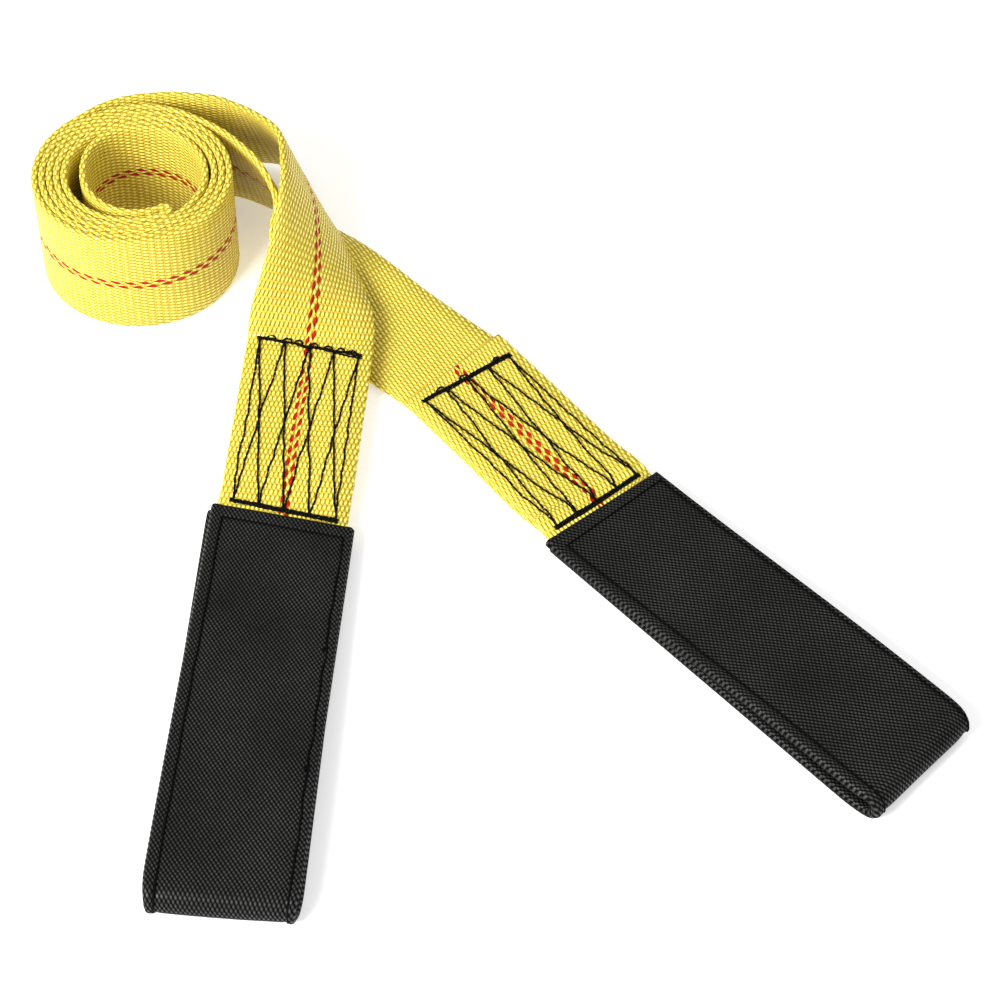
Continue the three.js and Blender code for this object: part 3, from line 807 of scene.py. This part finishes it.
def thread_material(name, colour):
    material, tree, shader, uv = new_material(name, Specular_IOR_Level=0.04)
    grain = place_group(tree, fibre_group(), uv, Streak_Scale=5200.0, Stretch=0.5, Shade_Scale=90.0)
    twist = tree.nodes.new("ShaderNodeTexWave")
    tree.links.new(uv, twist.inputs["Vector"])
    twist.bands_direction = "DIAGONAL"
    twist.inputs["Scale"].default_value = 520.0
    level = calc(tree, "MULTIPLY", twist.outputs["Fac"], grain["Streaks"])
    lighter = tuple(0.006 + 1.6 * c for c in colour[:3])
    tree.links.new(blend_colour(tree, level, colour, lighter), shader.inputs["Base Color"])
    tree.links.new(calc(tree, "MULTIPLY_ADD", level, -0.2, 0.68), shader.inputs["Roughness"])
    bump(tree, shader, twist.outputs["Fac"], 0.00012)
    return material


def film_material(colours):
    material, tree, shader, uv = new_material("Clear Label Film", Roughness=0.22, IOR=1.46)
    grain = place_group(tree, fibre_group(), uv, Streak_Scale=160.0, Stretch=0.6, Shade_Scale=75.0)
    haze = calc(tree, "MULTIPLY_ADD", calc(tree, "POWER", grain["Shade"], 2.5), 0.5, 0.02)
    tree.links.new(haze, shader.inputs["Alpha"])
    pale = blend_colour(tree, grain["Streaks"], colours.film, tuple(c * 0.86 for c in colours.film[:3]))
    tree.links.new(pale, shader.inputs["Base Color"])
    bump(tree, shader, calc(tree, "ADD", grain["Streaks"], grain["Shade"]), 0.0006)
    return material


# ---------------------------------------------------------------- settings

def length_prop(name, description, default):
    return bpy.props.FloatProperty(name=name, description=description, default=default, min=0.0,
                                   unit="LENGTH", precision=5)


def colour_prop(name, description, default):
    return bpy.props.FloatVectorProperty(name=name, description=description, default=default, size=3, min=0.0,
                                         max=1.0, subtype="COLOR")


class StrapSizes(bpy.types.PropertyGroup):
    web_width: length_prop("Webbing Width", "Width of the webbing across its ribs", 0.05)
    web_thickness: length_prop("Webbing Thickness", "Thickness of one ply of webbing", 0.0025)
    rib_pitch: length_prop("Rib Pitch", "Distance from one rib of the webbing to the next", 0.00265)
    yarn_pitch: length_prop("Yarn Pitch", "Distance between yarns across the webbing", 0.00175)
    stitch_width: length_prop("Stitch Box Width", "Width of the sewn box on each eye", 0.04)
    thread: length_prop("Sewing Thread", "Diameter of the thread that sews the eyes", 0.0008)
    seam_thread: length_prop("Seam Thread", "Diameter of the thread that hems the sleeves", 0.0008)
    film_width: length_prop("Film Width", "Width of the clear film over the label panel", 0.04)


class StrapColours(bpy.types.PropertyGroup):
    # The webbing colour is the yarn tops' yellow, paled by a painted highlight; the groove colour below it is
    # painted shade between the yarns.
    webbing: colour_prop("Webbing", "Tops of the yellow yarns", (1.0, 0.86, 0.15))
    webbing_groove_shade: colour_prop("Webbing Grooves", "Yellow between the yarns", (0.43, 0.26, 0.0))
    sealed: colour_prop("Sealed Ends", "Melted edge of the webbing's cut ends", (0.62, 0.42, 0.05))
    tracer: colour_prop("Tracer", "Red marker yarns along the middle", (0.56, 0.012, 0.004))
    tracer_groove: colour_prop("Tracer Grooves", "Shaded edge of the red yarns", (0.26, 0.004, 0.001))
    sleeve: colour_prop("Sleeve", "Ground of the sleeve's cloth", (0.0018, 0.0018, 0.0017))
    # The raised yarns' colour is a painted glint on the cloth's dark ground.
    sleeve_yarn_glint: colour_prop("Sleeve Yarns", "Raised yarns of the sleeve's cloth", (0.044, 0.044, 0.042))
    thread: colour_prop("Thread", "Sewing thread of the eyes", (0.002, 0.002, 0.002))
    seam: colour_prop("Seam Thread", "Sewing thread of the sleeves", (0.0005, 0.0005, 0.0005))
    film: colour_prop("Film", "Haze of the clear film", (0.55, 0.42, 0.16))
    floor: colour_prop("Floor", "Plain floor under the strap", (0.9, 0.9, 0.9))


# ---------------------------------------------------------------- operators

def put(obj, node):
    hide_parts(node)
    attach(obj, "root")


class STRAP_OT_stage(bpy.types.Operator):
    """Sets the camera, the pale floor and the soft lights"""
    bl_idname = "tow_strap.stage"
    bl_label = "Camera, Floor and Lights"

    def execute(self, context):
        scene, colours = context.scene, context.scene.strap_colours
        tilt, roll = math.radians(CAMERA_TILT), math.radians(CAMERA_ROLL)
        right = Vector((1, 0, 0))
        up = Vector((0, math.sin(tilt), math.cos(tilt)))
        ahead = Vector((0, math.cos(tilt), -math.sin(tilt)))
        c, s = math.cos(roll), math.sin(roll)
        across, over = c * right + s * up, c * up - s * right
        camera = bpy.data.objects.new("camera", bpy.data.cameras.new("camera"))
        camera.data.lens = LENS
        camera.data.sensor_width = 36.0
        turn = Matrix((across, over, -ahead)).transposed().to_4x4()
        camera.matrix_world = Matrix.Translation(Vector(ORIGIN * MM) - CAMERA_DISTANCE * ahead) @ turn
        context.collection.objects.link(camera)
        scene.camera = camera

        mesh = bpy.data.meshes.new("floor")
        corners = [(x * FLOOR_HALF, y * FLOOR_HALF) for x, y in ((-1, -1), (1, -1), (1, 1), (-1, 1))]
        mesh.from_pydata([(x, y, 0) for x, y in corners], [], [(0, 1, 2, 3)])
        uv = mesh.uv_layers.new(name="Along")
        uv.data.foreach_set("uv", [value for corner in corners for value in corner])
        material, tree, shader, coords = new_material("Pale Floor", Roughness=0.85,
                                                      Emission_Strength=FLOOR_GLOW)
        grain = place_group(tree, fibre_group(), coords, Streak_Scale=8.0, Stretch=1.0, Shade_Scale=2.0)
        tone = blend_colour(tree, grain["Shade"], colours.floor, tuple(0.985 * v for v in colours.floor))
        tree.links.new(tone, shader.inputs["Base Color"])
        tree.links.new(tone, shader.inputs["Emission Color"])
        mesh.materials.append(material)
        floor = bpy.data.objects.new("floor", mesh)
        context.collection.objects.link(floor)

        for name, place, size, power in LIGHTS:
            light = bpy.data.lights.new(name, "AREA")
            light.size, light.energy = size, power
            lamp = bpy.data.objects.new(name, light)
            lamp.location = place
            lamp.rotation_euler = (-Vector(place)).to_track_quat("-Z", "Y").to_euler()
            context.collection.objects.link(lamp)
        world = bpy.data.worlds.new("soft surround")
        world.use_nodes = True
        world.node_tree.nodes["Background"].inputs["Color"].default_value = (1, 1, 1, 1)
        world.node_tree.nodes["Background"].inputs["Strength"].default_value = SURROUND
        scene.world = world
        scene.view_settings.view_transform = "Standard"
        return {"FINISHED"}


class STRAP_OT_webbing(bpy.types.Operator):
    """Builds the single length of ribbed webbing"""
    bl_idname = "tow_strap.webbing"
    bl_label = "Webbing"

    def execute(self, context):
        sizes, colours = context.scene.strap_sizes, context.scene.strap_colours
        length = strap_centre(sizes)[2][-1] * MM
        obj = make_webbing(sizes, webbing_material(sizes, colours, length))
        put(obj, "webbing")
        return {"FINISHED"}


class STRAP_OT_sleeves(bpy.types.Operator):
    """Builds the woven sleeves over both eyes"""
    bl_idname = "tow_strap.sleeves"
    bl_label = "Sleeves"

    def execute(self, context):
        material = sleeve_material(context.scene.strap_colours)
        for side, eye in EYES.items():
            obj, length = make_sleeve(f"sleeve_cloth_{side}", eye, material)
            put(obj, f"sleeve_{side}")
        return {"FINISHED"}


class STRAP_OT_box_stitching(bpy.types.Operator):
    """Sews the zigzag boxes that close both eyes"""
    bl_idname = "tow_strap.box_stitching"
    bl_label = "Box Stitching"

    def execute(self, context):
        sizes = context.scene.strap_sizes
        material = thread_material("Black Sewing Thread", context.scene.strap_colours.thread)
        for side, eye in EYES.items():
            obj = make_box_stitch(f"box_stitches_{side}", eye, sizes, material)
            put(obj, f"box_stitch_{side}")
        return {"FINISHED"}


class STRAP_OT_sleeve_seams(bpy.types.Operator):
    """Sews the hem lines of both sleeves"""
    bl_idname = "tow_strap.sleeve_seams"
    bl_label = "Sleeve Seams"

    def execute(self, context):
        sizes = context.scene.strap_sizes
        material = thread_material("Dark Seam Thread", context.scene.strap_colours.seam)
        for side, eye in EYES.items():
            obj = make_sleeve_seam(f"seam_stitches_{side}", eye, sizes, material)
            put(obj, f"sleeve_seam_{side}")
        return {"FINISHED"}


class STRAP_OT_label_film(bpy.types.Operator):
    """Lays the clear film over the bare label panel"""
    bl_idname = "tow_strap.label_film"
    bl_label = "Label Film"

    def execute(self, context):
        put(make_film(context.scene.strap_sizes, film_material(context.scene.strap_colours)), "label_film")
        return {"FINISHED"}


PIECES = (STRAP_OT_stage, STRAP_OT_webbing, STRAP_OT_sleeves, STRAP_OT_box_stitching, STRAP_OT_sleeve_seams,
          STRAP_OT_label_film)


class STRAP_PT_pieces(bpy.types.Panel):
    """Lists the strap's pieces and settings"""
    bl_idname = "STRAP_PT_pieces"
    bl_label = "Tow Strap"
    bl_space_type = "VIEW_3D"
    bl_region_type = "UI"
    bl_category = "Tow Strap"

    def draw(self, context):
        for piece in PIECES:
            self.layout.operator(piece.bl_idname)
        for group in (context.scene.strap_sizes, context.scene.strap_colours):
            box = self.layout.box()
            for key in group.__annotations__:
                box.prop(group, key)


CLASSES = (StrapSizes, StrapColours, *PIECES, STRAP_PT_pieces)


def register():
    for cls in CLASSES:
        bpy.utils.register_class(cls)
    bpy.types.Scene.strap_sizes = bpy.props.PointerProperty(type=StrapSizes)
    bpy.types.Scene.strap_colours = bpy.props.PointerProperty(type=StrapColours)


def unregister():
    del bpy.types.Scene.strap_sizes
    del bpy.types.Scene.strap_colours
    for cls in reversed(CLASSES):
        bpy.utils.unregister_class(cls)


def main():
    register()
    tools = bpy.ops.tow_strap
    tools.stage()
    tools.webbing()
    tools.sleeves()
    tools.box_stitching()
    tools.sleeve_seams()
    tools.label_film()


if __name__ == "__main__":
    main()
